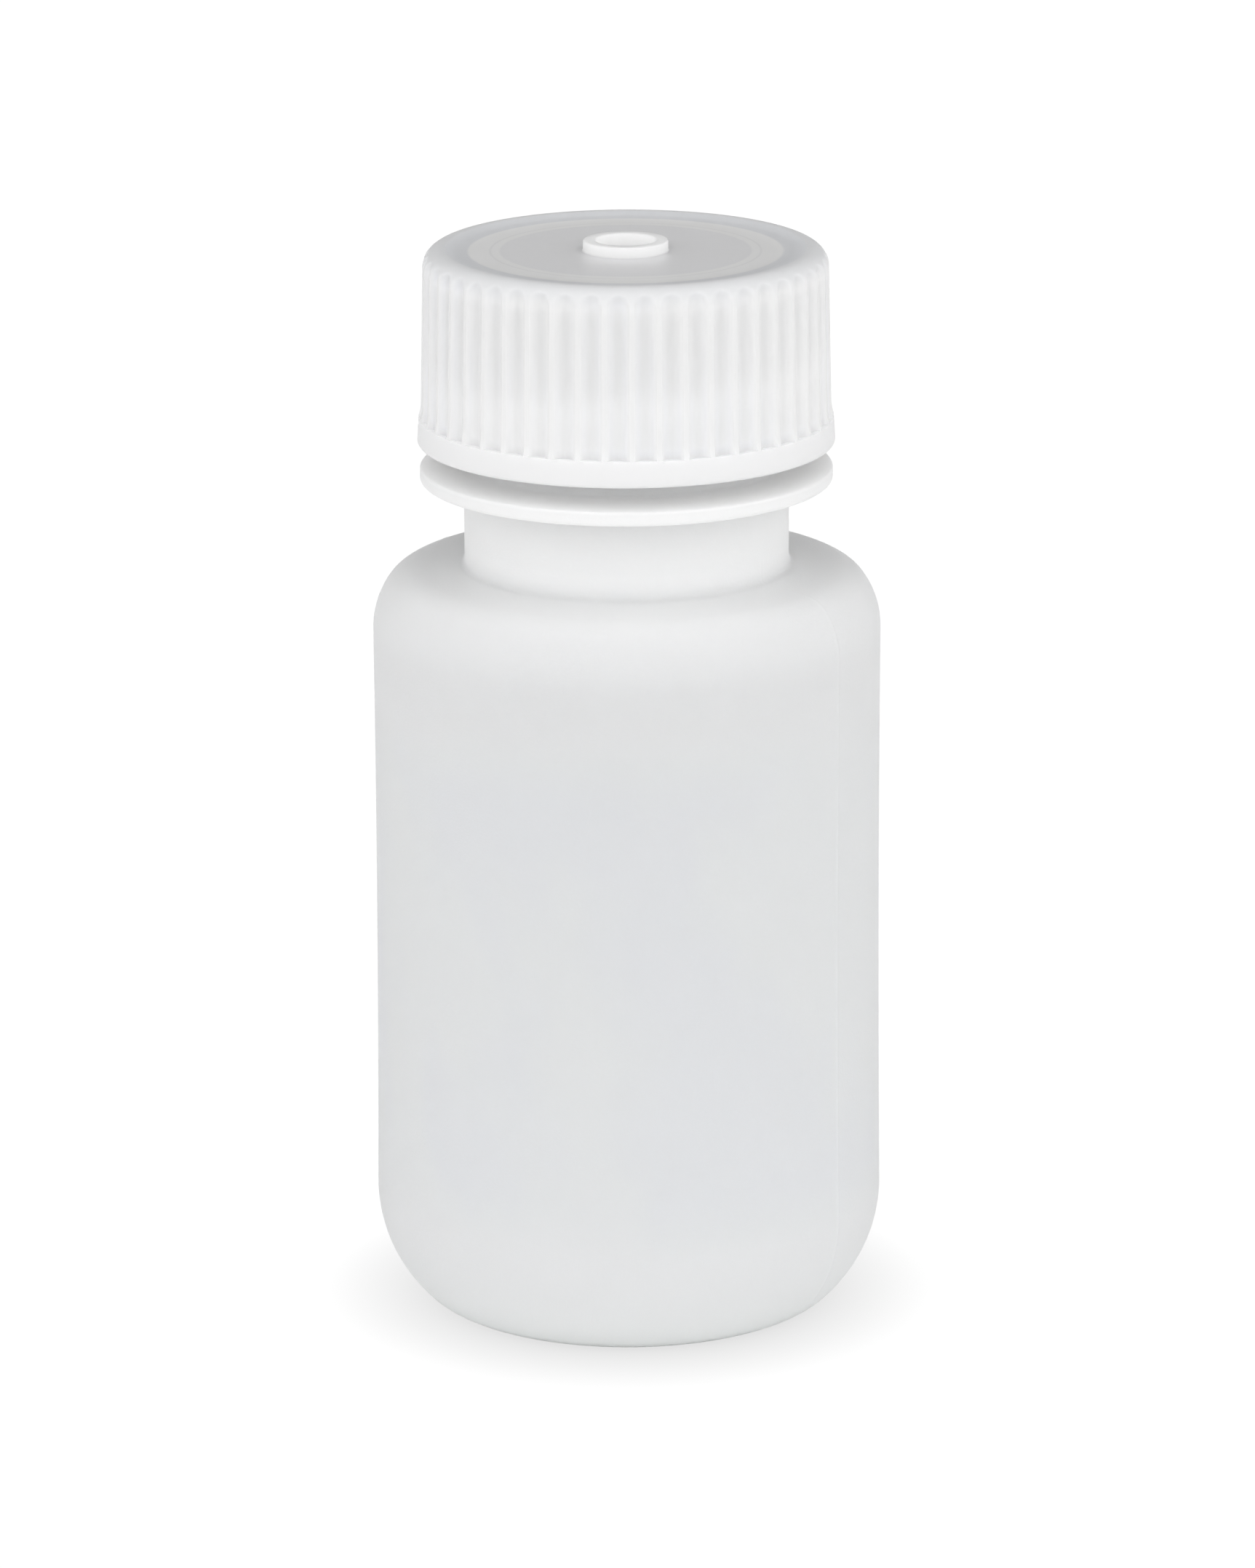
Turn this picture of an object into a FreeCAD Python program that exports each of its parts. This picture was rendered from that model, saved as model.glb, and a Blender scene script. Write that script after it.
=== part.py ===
import FreeCAD, Part
import math
import os
import re
import Sketcher

# A small wide-mouth reagent bottle, blow moulded in natural polyethylene, with a ribbed screw cap.
# The frame: +Z up along the axis, the origin at the middle of the base, millimetres.
# Three pieces: the bottle with its collar and threaded neck, the cap, and the seal ring in the cap.

# Driving dimensions: name, value, and what it is.
SIZES = [
    # bottle body
    ("body_radius", 19.6, "outside radius where the shoulder starts"),
    ("heel_top_radius", 19.75, "outside radius where the heel starts"),
    ("heel_height", 9.0, "height at which the heel starts"),
    ("shoulder_height", 54.0, "height at which the shoulder starts"),
    ("waist_radius", 19.58, "outside radius at the slight waist"),
    ("waist_height", 31.5, "height of the waist"),
    ("heel_low_radius", 3.45, "heel radius next to the standing ring"),
    ("heel_high_radius", 11.3, "heel radius next to the side"),
    ("heel_turn", 45.0, "angle at which the two heel arcs meet, degrees"),
    ("foot_inner_radius", 12.4, "inside of the flat standing ring"),
    ("push_up", 1.5, "rise of the hollow base at its middle"),
    ("shoulder_low_radius", 6.2, "shoulder radius next to the side"),
    ("shoulder_high_radius", 2.7, "shoulder radius next to the top"),
    ("shoulder_turn", 35.0, "angle at which the two shoulder arcs meet, degrees"),
    ("shoulder_slope", 5.0, "rise of the shoulder top towards the neck, degrees"),
    ("wall", 1.1, "thickness of the side, heel and shoulder"),
    ("base_wall", 1.3, "thickness of the base at its middle"),
    ("seam_reach", 10.5, "half length of the pinch-off seam under the base"),
    ("seam_width", 0.6, "width of the pinch-off seam"),
    ("seam_proud", 0.25, "how far the pinch-off seam stands down"),
    # bottle neck
    ("neck_radius", 12.5, "outside radius of the neck"),
    ("neck_fillet", 0.6, "fillet between the shoulder and the neck"),
    ("bore_radius", 10.7, "inside radius of the mouth"),
    ("bore_fillet", 1.0, "rounding between the inside shoulder and the bore"),
    ("lip_height", 81.5, "height of the lip above the base"),
    ("lip_round", 0.4, "rounding of the lip"),
    ("collar_radius", 15.87, "outside radius of the collar"),
    ("collar_low", 65.65, "height of the collar's underside"),
    ("collar_rim_low", 66.0, "lower edge of the collar's straight rim"),
    ("collar_rim_top", 66.6, "upper edge of the collar's straight rim"),
    ("collar_round", 0.2, "rounding of the collar's top edge"),
    ("collar_high", 67.1, "height of the collar where it meets the neck"),
    # thread
    ("pitch", 4.2, "rise of the thread in one turn"),
    ("thread_turns", 1.5, "turns of thread on the neck and in the cap"),
    ("thread_height", 1.2, "how far a thread stands out of its wall"),
    ("thread_root_half", 1.0, "half of a thread's width at its root"),
    ("thread_crest_half", 0.45, "half of a thread's width at its crest"),
    ("thread_sunk", 0.15, "how far a thread's root is sunk in its wall"),
    ("neck_thread_low", 72.6, "height of the neck thread's middle where it starts"),
    ("thread_gap", 0.12, "clearance between the two threads when closed"),
    # cap
    ("cap_low", 68.65, "height of the cap's lower edge"),
    ("cap_low_radius", 16.04, "outside radius of the band at the lower edge"),
    ("cap_edge_round", 0.25, "rounding of the cap's lower edge"),
    ("band_top", 70.7, "top of the plain band"),
    ("band_top_radius", 15.93, "outside radius at the top of the band"),
    ("flare_top", 71.9, "height at which the flare above the band ends"),
    ("flare_top_radius", 15.74, "outside radius above the flare"),
    ("flare_curve", 4.0, "radius of the flare"),
    ("crown_radius", 15.53, "outside radius below the top corner"),
    ("crown_round", 1.43, "radius of the top corner"),
    ("cap_top", 83.76, "height of the cap's rim"),
    ("rim_inner_radius", 13.85, "inside of the raised rim on the top face"),
    ("dish_radius", 12.7, "radius at which the dished top face is flat"),
    ("dish", 0.26, "depth of the dished top face below the rim"),
    ("cap_bore_radius", 14.15, "inside radius of the cap"),
    ("cap_bore_round", 0.5, "rounding inside the cap's top corner"),
    ("lead_in", 0.45, "chamfer inside the cap's lower edge"),
    ("ceiling", 82.3, "height of the underside of the cap's top"),
    ("flute_count", 48, "flutes around the cap"),
    ("flute_phase", -2.2, "angle of the first flute about the axis from +X, degrees"),
    ("flute_radius", 1.1, "radius of a flute's floor"),
    ("flute_half_width", 0.78, "half of a flute's width between its straight sides"),
    ("flute_depth", 0.33, "depth of a flute below the ribs' crests"),
    ("gate_outer_radius", 3.26, "outside radius of the gate ring"),
    ("gate_inner_radius", 2.27, "inside radius of the gate ring"),
    ("gate_top", 84.35, "height of the gate ring's top"),
    ("gate_round", 0.15, "rounding of the gate ring's edges"),
    ("gate_floor", 83.25, "height of the floor inside the gate ring"),
    ("keeper_inner_radius", 12.1, "inside radius of the rib that keeps the seal ring"),
    ("keeper_outer_radius", 12.8, "outside radius of that rib"),
    ("keeper_low", 81.75, "height of that rib's lower edge"),
    # seal ring
    ("seal_radius", 12.0, "outside radius of the seal ring"),
    ("seal_bore_radius", 9.6, "inside radius of the seal ring"),
    ("plug_radius", 10.6, "outside radius of the plug skirt"),
    ("plug_low", 79.3, "height of the plug skirt's lower edge"),
    ("plug_lead", 0.4, "taper of the plug skirt's lower edge"),
]

doc = FreeCAD.newDocument("reagent_bottle")
sizes = doc.addObject("Spreadsheet::Sheet", "sizes")
for row, (alias, number, meaning) in enumerate(SIZES, start=1):
    sizes.set(f"A{row}", meaning)
    sizes.set(f"B{row}", str(number))
    sizes.setAlias(f"B{row}", alias)
doc.recompute()

LEFT, RIGHT = 1, -1       # side of the direction of travel on which an arc's centre lies


def number_of(expression):
    """The value of an expression written with the sheet's names."""
    return float(sizes.evalExpression(expression))


def in_sheet(expression):
    """The same expression as another object has to write it."""
    names = {alias for alias, _, _ in SIZES}
    return re.sub("[a-z_]+", lambda word: f"sizes.{word[0]}" if word[0] in names else word[0], expression)


def new_body(name):
    body = doc.addObject("PartDesign::Body", name)
    body.Label = name
    body.Placement = FreeCAD.Placement()
    return body


def origin_of(body, role):
    """One of a body's own planes or axes."""
    return next(item for item in body.Origin.OriginFeatures if item.Role == role)


def new_sketch(body, name, role="XZ_Plane"):
    sketch = body.newObject("Sketcher::SketchObject", name)
    sketch.AttachmentSupport = [(origin_of(body, role), "")]
    sketch.MapMode = "FlatFace"
    return sketch


def arc_between(start, end, radius, side):
    """A sketch arc, which always runs anticlockwise, between two points."""
    chord = end - start
    middle = (start + end) * 0.5
    across = FreeCAD.Vector(-chord.y, chord.x, 0).normalize()
    reach = math.sqrt(radius ** 2 - (chord.Length / 2) ** 2)
    centre = middle + across * (reach * side)
    first, last = (start, end) if side == LEFT else (end, start)
    angles = [math.atan2(p.y - centre.y, p.x - centre.x) for p in (first, last)]
    circle = Part.Circle(centre, FreeCAD.Vector(0, 0, 1), radius)
    return Part.ArcOfCircle(circle, angles[0], angles[1])


def outline(sketch, points):
    """A closed outline. Each point is (across, up) or (across, up, radius, side), in expressions.

    The radius and side describe the arc from that point to the next one.
    """
    corners = [FreeCAD.Vector(number_of(p[0]), number_of(p[1]), 0) for p in points]
    starts = []
    for index, point in enumerate(points):
        start, end = corners[index], corners[(index + 1) % len(points)]
        if len(point) == 2:
            sketch.addGeometry(Part.LineSegment(start, end))
            starts.append((1, 2))
        else:
            sketch.addGeometry(arc_between(start, end, number_of(point[2]), point[3]))
            starts.append((1, 2) if point[3] == LEFT else (2, 1))
    for index, point in enumerate(points):
        before = index - 1 if index else len(points) - 1
        here = starts[index][0]
        sketch.addConstraint(Sketcher.Constraint("Coincident", before, starts[before][1], index, here))
        for kind, expression, value in (("DistanceX", point[0], corners[index].x),
                                        ("DistanceY", point[1], corners[index].y)):
            added = sketch.addConstraint(Sketcher.Constraint(kind, -1, 1, index, here, value))
            sketch.setExpression(f"Constraints[{added}]", in_sheet(expression))
        if len(point) > 2:
            radius = Sketcher.Constraint("Radius", index, number_of(point[2]))
            added = sketch.addConstraint(radius)
            sketch.setExpression(f"Constraints[{added}]", in_sheet(point[2]))


def turned(body, name, points, kind="PartDesign::Revolution"):
    """A full turn of an outline about the axis, added to the body or cut from it."""
    sketch = new_sketch(body, f"{name}_outline")
    outline(sketch, points)
    feature = body.newObject(kind, name)
    feature.Profile = sketch
    feature.ReferenceAxis = (sketch, ["V_Axis"])
    feature.Angle = 360
    return feature


def cut_turned(body, name, points):
    return turned(body, name, points, "PartDesign::Groove")


def thread(body, name, root_radius, outwards, middle):
    """A right-hand thread of trapezoid section, which rises from the height called middle."""
    sunk, crest = ("-", "+") if outwards else ("+", "-")
    root = f"{root_radius} {sunk} thread_sunk"
    tip = f"{root_radius} {crest} thread_height"
    sketch = new_sketch(body, f"{name}_section")
    outline(sketch, [(root, f"{middle} - thread_root_half"), (tip, f"{middle} - thread_crest_half"),
                     (tip, f"{middle} + thread_crest_half"), (root, f"{middle} + thread_root_half")])
    feature = body.newObject("PartDesign::AdditiveHelix", name)
    feature.Profile = sketch
    feature.ReferenceAxis = (sketch, ["V_Axis"])
    feature.Mode = 0
    feature.setExpression("Pitch", in_sheet("pitch"))
    feature.setExpression("Height", in_sheet("pitch * thread_turns"))
    return feature


def make_bottle():
    """The blow-moulded bottle: hollow body, push-up base, collar, neck and its thread."""
    bottle = new_body("bottle")
    heel = "heel_high_radius - heel_low_radius"
    heel_centre = f"heel_top_radius - heel_high_radius + ({heel}) * cos(heel_turn * 1 deg)"
    low_centre = "body_radius - shoulder_low_radius"
    step = "(shoulder_low_radius - shoulder_high_radius)"
    high_across = f"{low_centre} + {step} * cos(shoulder_turn * 1 deg)"
    high_up = f"shoulder_height + {step} * sin(shoulder_turn * 1 deg)"

    def skin(inset):
        """The points of the heel, side and shoulder, moved in from the outside by inset."""
        heel_low = f"(heel_low_radius - {inset})"
        heel_high = f"(heel_high_radius - {inset})"
        shoulder_low = f"(shoulder_low_radius - {inset})"
        shoulder_high = f"(shoulder_high_radius - {inset})"
        return [
            (heel_centre, inset, heel_low, LEFT),
            (f"{heel_centre} + {heel_low} * cos(heel_turn * 1 deg)",
             f"heel_low_radius - {heel_low} * sin(heel_turn * 1 deg)", heel_high, LEFT),
            (f"heel_top_radius - {inset}", "heel_height"),
            (f"waist_radius - {inset}", "waist_height"),
            (f"body_radius - {inset}", "shoulder_height", shoulder_low, LEFT),
            (f"{low_centre} + {shoulder_low} * cos(shoulder_turn * 1 deg)",
             f"shoulder_height + {shoulder_low} * sin(shoulder_turn * 1 deg)", shoulder_high, LEFT),
            (f"{high_across} + {shoulder_high} * sin(shoulder_slope * 1 deg)",
             f"{high_up} + {shoulder_high} * cos(shoulder_slope * 1 deg)"),
        ]

    def throat(inset, radius, fillet):
        """The two ends of the fillet that turns from the sloping shoulder into an upright wall."""
        across = f"{radius} + {fillet} - {fillet} * sin(shoulder_slope * 1 deg)"
        last_across, last_up = skin(inset)[-1]
        up = f"{last_up} + (({last_across}) - ({across})) * tan(shoulder_slope * 1 deg)"
        return [(across, up, fillet, RIGHT), (radius, f"{up} + {fillet} * cos(shoulder_slope * 1 deg)")]

    push_up_curve = "(foot_inner_radius ^ 2 + push_up ^ 2) / (2 * push_up)"
    outer = [("0", "push_up", push_up_curve, RIGHT), ("foot_inner_radius", "0")]
    outer += skin("0") + throat("0", "neck_radius", "neck_fillet")
    outer += [("neck_radius", "lip_height - lip_round", "lip_round", LEFT),
              ("neck_radius - lip_round", "lip_height"), ("0", "lip_height")]
    turned(bottle, "bottle_form", outer)

    turned(bottle, "collar", [
        ("neck_radius - 0.6", "collar_low - 0.35"),
        ("neck_radius", "collar_low - 0.35", "0.35", RIGHT),
        ("neck_radius + 0.35", "collar_low"),
        ("collar_radius - collar_rim_low + collar_low", "collar_low",
         "collar_rim_low - collar_low", LEFT),
        ("collar_radius", "collar_rim_low"),
        ("collar_radius", "collar_rim_top", "collar_round", LEFT),
        ("collar_radius - collar_round", "collar_rim_top + collar_round"),
        ("neck_radius", "collar_high"), ("neck_radius - 0.6", "collar_high")])

    thread(bottle, "neck_thread", "neck_radius", True, "neck_thread_low")

    floor_rise = "(push_up + base_wall - wall)"
    floor_curve = f"(foot_inner_radius ^ 2 + {floor_rise} ^ 2) / (2 * {floor_rise})"
    inner = [("0", "push_up + base_wall", floor_curve, RIGHT), ("foot_inner_radius", "wall")]
    inner += skin("wall") + throat("wall", "bore_radius", "bore_fillet")
    inner += [("bore_radius", "lip_height - lip_round", "lip_round", RIGHT),
              ("bore_radius + lip_round", "lip_height"),
              ("bore_radius + lip_round", "lip_height + 1"), ("0", "lip_height + 1")]
    cut_turned(bottle, "inside", inner)

    make_pinch_off(bottle, push_up_curve)
    return bottle


def make_pinch_off(bottle, push_up_curve):
    """The low weld seam that the mould leaves across the hollow base."""
    end_up = f"push_up - ({push_up_curve}) + sqrt(({push_up_curve}) ^ 2 - seam_reach ^ 2)"
    sketch = new_sketch(bottle, "pinch_off_outline")
    outline(sketch, [
        ("-seam_reach", f"{end_up} - seam_proud", f"{push_up_curve}", RIGHT),
        ("seam_reach", f"{end_up} - seam_proud"),
        ("seam_reach", f"{end_up} + 0.1", f"{push_up_curve}", LEFT),
        ("-seam_reach", f"{end_up} + 0.1")])
    seam = bottle.newObject("PartDesign::Pad", "pinch_off")
    seam.Profile = sketch
    seam.Midplane = True
    seam.setExpression("Length", in_sheet("seam_width"))


def make_cap():
    """The moulded cap: plain band, fluted side, dished top with its gate ring, and the thread."""
    cap = new_body("cap")
    turned(cap, "cap_form", [
        ("0", "cap_low"),
        ("cap_low_radius - cap_edge_round", "cap_low", "cap_edge_round", LEFT),
        ("cap_low_radius", "cap_low + cap_edge_round"),
        ("band_top_radius", "band_top", "flare_curve", RIGHT),
        ("flare_top_radius", "flare_top"),
        ("crown_radius", "cap_top - crown_round", "crown_round", LEFT),
        ("crown_radius - crown_round", "cap_top"), ("rim_inner_radius", "cap_top"),
        ("dish_radius", "cap_top - dish"), ("0", "cap_top - dish")])

    flutes = cut_flutes(cap)
    cap.Tip = flutes

    turned(cap, "gate_ring", [
        ("gate_inner_radius", "cap_top - dish - 0.3"), ("gate_outer_radius", "cap_top - dish - 0.3"),
        ("gate_outer_radius", "gate_top - gate_round", "gate_round", LEFT),
        ("gate_outer_radius - gate_round", "gate_top"),
        ("gate_inner_radius + gate_round", "gate_top", "gate_round", LEFT),
        ("gate_inner_radius", "gate_top - gate_round")])
    cut_turned(cap, "gate_hollow", [
        ("0", "gate_floor"), ("gate_inner_radius", "gate_floor"),
        ("gate_inner_radius", "cap_top"), ("0", "cap_top")])

    cut_turned(cap, "cap_inside", [
        ("0", "cap_low - 1"), ("cap_bore_radius + lead_in", "cap_low - 1"),
        ("cap_bore_radius + lead_in", "cap_low"), ("cap_bore_radius", "cap_low + lead_in"),
        ("cap_bore_radius", "ceiling - cap_bore_round", "cap_bore_round", LEFT),
        ("cap_bore_radius - cap_bore_round", "ceiling"), ("keeper_outer_radius", "ceiling"),
        ("keeper_outer_radius", "keeper_low"), ("keeper_inner_radius", "keeper_low"),
        ("keeper_inner_radius", "ceiling"), ("0", "ceiling")])

    # The flanks of the two threads are parallel, so one distance along the axis sets their gap.
    flank = "(thread_root_half - thread_crest_half) / thread_height"
    reach = "(cap_bore_radius - neck_radius)"
    below = f"(2 * thread_root_half - {flank} * {reach} + thread_gap)"
    thread(cap, "cap_thread", "cap_bore_radius", False, f"neck_thread_low - {below}")
    return cap


def cut_flutes(cap):
    """One round-bottomed flute that leans in with the side, repeated around the cap."""
    run = number_of("cap_top - crown_round - flare_top")
    lean = math.degrees(math.atan(number_of("flare_top_radius - crown_radius") / run))
    sketch = new_sketch(cap, "flute_section", "XY_Plane")
    side = "flute_radius - sqrt(flute_radius ^ 2 - flute_half_width ^ 2)"
    outline(sketch, [
        (side, "-flute_half_width", "flute_radius", RIGHT), (side, "flute_half_width"),
        ("flute_radius", "flute_half_width"), ("flute_radius", "-flute_half_width")])
    floor = "(flare_top_radius - flute_depth)"
    start = {"x": f"{floor} * cos(flute_phase * 1 deg)", "y": f"{floor} * sin(flute_phase * 1 deg)",
             "z": "band_top"}
    about_axis = FreeCAD.Rotation(FreeCAD.Vector(0, 0, 1), number_of("flute_phase"))
    leaning = about_axis * FreeCAD.Rotation(FreeCAD.Vector(0, 1, 0), -lean)
    place = FreeCAD.Vector(*[number_of(expression) for expression in start.values()])
    sketch.AttachmentOffset = FreeCAD.Placement(place, leaning)
    for across, expression in start.items():
        sketch.setExpression(f"AttachmentOffset.Base.{across}", in_sheet(expression))

    flute = cap.newObject("PartDesign::Pocket", "flute")
    flute.Profile = sketch
    flute.Reversed = True
    flute.setExpression("Length", in_sheet("cap_top - band_top + 1"))
    doc.recompute()

    flutes = cap.newObject("PartDesign::PolarPattern", "flutes")
    flutes.Originals = [flute]
    flutes.Axis = (origin_of(cap, "Z_Axis"), [""])
    flutes.Angle = 360
    flutes.setExpression("Occurrences", in_sheet("flute_count"))
    return flutes


def make_seal_ring():
    """The soft ring in the cap: a flat rim that presses on the lip and a plug skirt in the mouth."""
    seal_ring = new_body("seal_ring")
    turned(seal_ring, "seal_form", [
        ("seal_bore_radius", "plug_low"), ("plug_radius - plug_lead", "plug_low"),
        ("plug_radius", "plug_low + 2 * plug_lead"), ("plug_radius", "lip_height"),
        ("seal_radius", "lip_height"), ("seal_radius", "ceiling"), ("seal_bore_radius", "ceiling")])
    return seal_ring


pieces = [make_bottle(), make_cap(), make_seal_ring()]
doc.recompute()

faults = [item.Name for item in doc.Objects if {"Invalid", "Error"} & set(item.State)]
if faults:
    raise RuntimeError(f"these objects failed: {faults}")
for piece in pieces:
    if piece.Shape.isNull() or not piece.Shape.isValid() or len(piece.Shape.Solids) != 1:
        raise RuntimeError(f"{piece.Label} is not one valid solid")

os.makedirs("parts", exist_ok=True)
for piece in pieces:
    piece.Shape.exportStep(f"parts/{piece.Label}.step")
    print(f"{piece.Label}: {piece.Shape.Volume:.0f} cubic mm, {len(piece.Shape.Faces)} faces")
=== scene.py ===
"""A small wide-mouth reagent bottle: the milky bottle, its fluted screw cap and the seal ring inside."""
import math

import bmesh
import bpy
import numpy as np
from bpy.props import FloatProperty, FloatVectorProperty, IntProperty, PointerProperty
from bpy.types import Operator, Panel, PropertyGroup
from mathutils import Matrix, Vector


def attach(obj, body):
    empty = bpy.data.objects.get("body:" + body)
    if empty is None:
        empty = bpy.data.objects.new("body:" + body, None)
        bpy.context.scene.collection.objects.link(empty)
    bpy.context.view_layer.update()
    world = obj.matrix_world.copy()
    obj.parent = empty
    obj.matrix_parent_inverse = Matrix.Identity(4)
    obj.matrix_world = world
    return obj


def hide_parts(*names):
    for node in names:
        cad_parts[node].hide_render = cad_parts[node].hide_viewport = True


bl_info = {
    "name": "Reagent Bottle",
    "version": (1, 0, 0),
    "blender": (4, 5, 0),
    "location": "3D View > Sidebar > Bottle",
    "description": "Builds a small wide-mouth reagent bottle with its screw cap around a packed frame",
    "category": "Add Mesh",
}

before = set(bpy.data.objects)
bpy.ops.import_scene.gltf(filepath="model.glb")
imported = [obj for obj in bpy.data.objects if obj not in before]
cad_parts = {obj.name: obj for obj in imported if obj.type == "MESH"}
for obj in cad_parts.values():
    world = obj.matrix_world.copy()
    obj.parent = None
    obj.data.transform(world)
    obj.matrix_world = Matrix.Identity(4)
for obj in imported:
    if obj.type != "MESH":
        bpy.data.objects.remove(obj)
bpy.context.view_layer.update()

MM = 0.001
BOTTLE_SEGMENTS = 192
CAP_SEGMENTS = 192        # round the inside of the cap, and four times as many over the flutes
DOME_POINTS = 25          # points of the bottle's outline on the hollow base
THREAD_CLEARANCE = 0.12 * MM
RIDGE_HALF_WIDTH = 0.3 * MM
CREST_RADIUS = 15.6 * MM  # where widths across the flutes are measured


# ---------------------------------------------------------------- sizes and colours

def size(name, millimetres, description):
    return FloatProperty(name=name, default=millimetres * MM, description=description,
                         min=0.0, precision=5, unit="LENGTH")


def tint(name, colour, description):
    return FloatVectorProperty(name=name, default=colour, description=description,
                               size=3, min=0.0, max=1.0, subtype="COLOR")


def share(name, default, description):
    return FloatProperty(name=name, default=default, description=description,
                         min=0.0, max=1.0, subtype="FACTOR")


def glow(name, default, description):
    return FloatProperty(name=name, default=default, description=description, min=0.0, soft_max=2.0)


class BottleForm(PropertyGroup):
    side: size("Side", 19.6, "Outside radius where the shoulder starts")
    heel_top: size("Heel top", 19.75, "Outside radius where the heel starts")
    waist: size("Waist", 19.57, "Outside radius at the slight waist")
    wall: size("Wall", 1.1, "Thickness of the side, the heel and the shoulder")
    neck: size("Neck", 12.5, "Outside radius of the neck")
    mouth: size("Mouth", 10.7, "Inside radius of the mouth")
    lip: size("Lip", 81.5, "Height of the lip above the base")
    collar: size("Collar", 15.87, "Outside radius of the collar under the cap")
    push_up: size("Push-up", 1.5, "Rise of the hollow base at its middle")
    seam: size("Parting line", 0.06, "How far the mould's parting line stands out")
    seam_angle: FloatProperty(name="Parting angle", default=math.radians(-35.0), subtype="ANGLE",
                              description="Angle of the parting line about the axis from +X")
    pinch_reach: size("Pinch-off reach", 10.5, "Half of the length of the pinch-off seam under the base")
    pinch_width: size("Pinch-off width", 0.6, "Width of the pinch-off seam")
    pinch: size("Pinch-off", 0.25, "How far the pinch-off seam stands down")
    colour: tint("Colour", (0.94, 0.985, 0.955), "Milky colour of the natural polyethylene")
    # painted light: a lighter colour on the shoulder, and on the collar's top and the neck above it
    painted_light: tint("Thick colour", (0.995, 0.995, 0.99), "Colour of the thicker plastic on the shoulder")
    # painted shade: a darker colour on the neck between the shoulder and the collar
    neck_shade: tint("Neck colour", (0.92, 0.92, 0.915), "Colour of the neck")
    # painted shade: a darker colour on the collar's underside and outer edge
    collar_edge_shade: tint("Collar edge", (0.82, 0.82, 0.82), "Colour of the collar's thin edge")
    cool: tint("Cool colour", (0.85, 0.87, 1.0), "Colour of the bluer patches in the side")
    roughness: share("Roughness", 0.42, "How dull the moulded skin is")
    frost: size("Frost", 0.02, "Depth of the fine frosted grain")


class ThreadForm(PropertyGroup):
    pitch: size("Pitch", 4.2, "Rise of the thread in one turn")
    turns: FloatProperty(name="Turns", default=1.5, min=0.5, max=3.0,
                         description="Turns of thread on the neck and in the cap")
    height: size("Height", 1.2, "How far a thread stands out of its wall")
    root: size("Root", 1.0, "Half of a thread's width at its root")
    crest: size("Crest", 0.45, "Half of a thread's width at its crest")
    start: size("Start", 72.6, "Height of the neck thread's middle where it starts")


class CapForm(PropertyGroup):
    low: size("Lower edge", 68.65, "Height of the cap's lower edge")
    band: size("Band", 16.04, "Outside radius of the plain band at the lower edge")
    band_top: size("Band top", 70.7, "Height at which the flutes start")
    crown: size("Crown", 15.53, "Outside radius below the top corner")
    top: size("Top", 83.76, "Height of the cap's rim")
    dish: size("Dish", 0.26, "Depth of the dished top face below the rim")
    bore: size("Bore", 14.15, "Inside radius of the cap")
    ceiling: size("Ceiling", 82.3, "Height of the underside of the cap's top")
    flutes: IntProperty(name="Flutes", default=48, min=12, max=96, description="Flutes around the cap")
    flute_phase: FloatProperty(name="Flute phase", default=math.radians(-2.2), subtype="ANGLE",
                               description="Angle of the first flute about the axis from +X")
    flute_depth: size("Flute depth", 0.33, "Depth of a flute below the ribs' crests")
    gate_ring: size("Gate ring", 3.26, "Outside radius of the raised ring around the gate")
    colour: tint("Colour", (0.955, 0.955, 0.945), "Milky colour of the natural polypropylene in the flutes")
    cool: tint("Cool colour", (0.91, 0.92, 0.97), "Colour of the slightly bluer patches in the flutes")
    # painted shade: a darker colour on the ribs' crests between the flutes, damping their bright crests
    rib_shade: tint("Rib colour", (0.80, 0.80, 0.80), "Colour of the thicker ribs between the flutes")
    # painted shade: a darker colour on the plain band at the cap's lower edge
    band_shade: tint("Band colour", (0.81, 0.81, 0.815), "Colour of the plain band at the lower edge")
    gate: tint("Gate ring colour", (0.96, 0.96, 0.955), "Colour of the raised ring around the gate")
    # painted shade: the top is darker than the cap's own colour, darkest over the open mouth
    mouth: tint("Over the mouth", (0.74, 0.74, 0.75), "Colour of the top over the open mouth")
    # painted shade over the seal ring, less dark than over the mouth
    over_seal_shade: tint("Over the seal", (0.81, 0.81, 0.805), "Colour of the top over the seal ring")
    # painted shade in a thin line over the plug skirt
    plug_line_shade: tint("Over the plug", (0.75, 0.75, 0.75), "Colour of the thin line over the plug skirt")
    # painted shade on the top outside the seal ring
    rim: tint("Top rim", (0.68, 0.69, 0.71), "Colour of the top outside the seal ring")
    # painted shade on the rounded top corner
    corner: tint("Corner", (0.68, 0.685, 0.695), "Colour of the rounded top corner")
    roughness: share("Roughness", 0.34, "How dull the moulded skin is")


class SealForm(PropertyGroup):
    radius: size("Radius", 12.0, "Outside radius of the seal ring")
    bore: size("Bore", 9.6, "Inside radius of the seal ring")
    plug: size("Plug", 10.6, "Outside radius of the plug skirt")
    plug_low: size("Plug low", 79.3, "Height of the plug skirt's lower edge")
    colour: tint("Colour", (0.95, 0.95, 0.945), "Milky colour of the soft polyethylene")
    roughness: share("Roughness", 0.5, "How dull the soft skin is")


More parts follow.
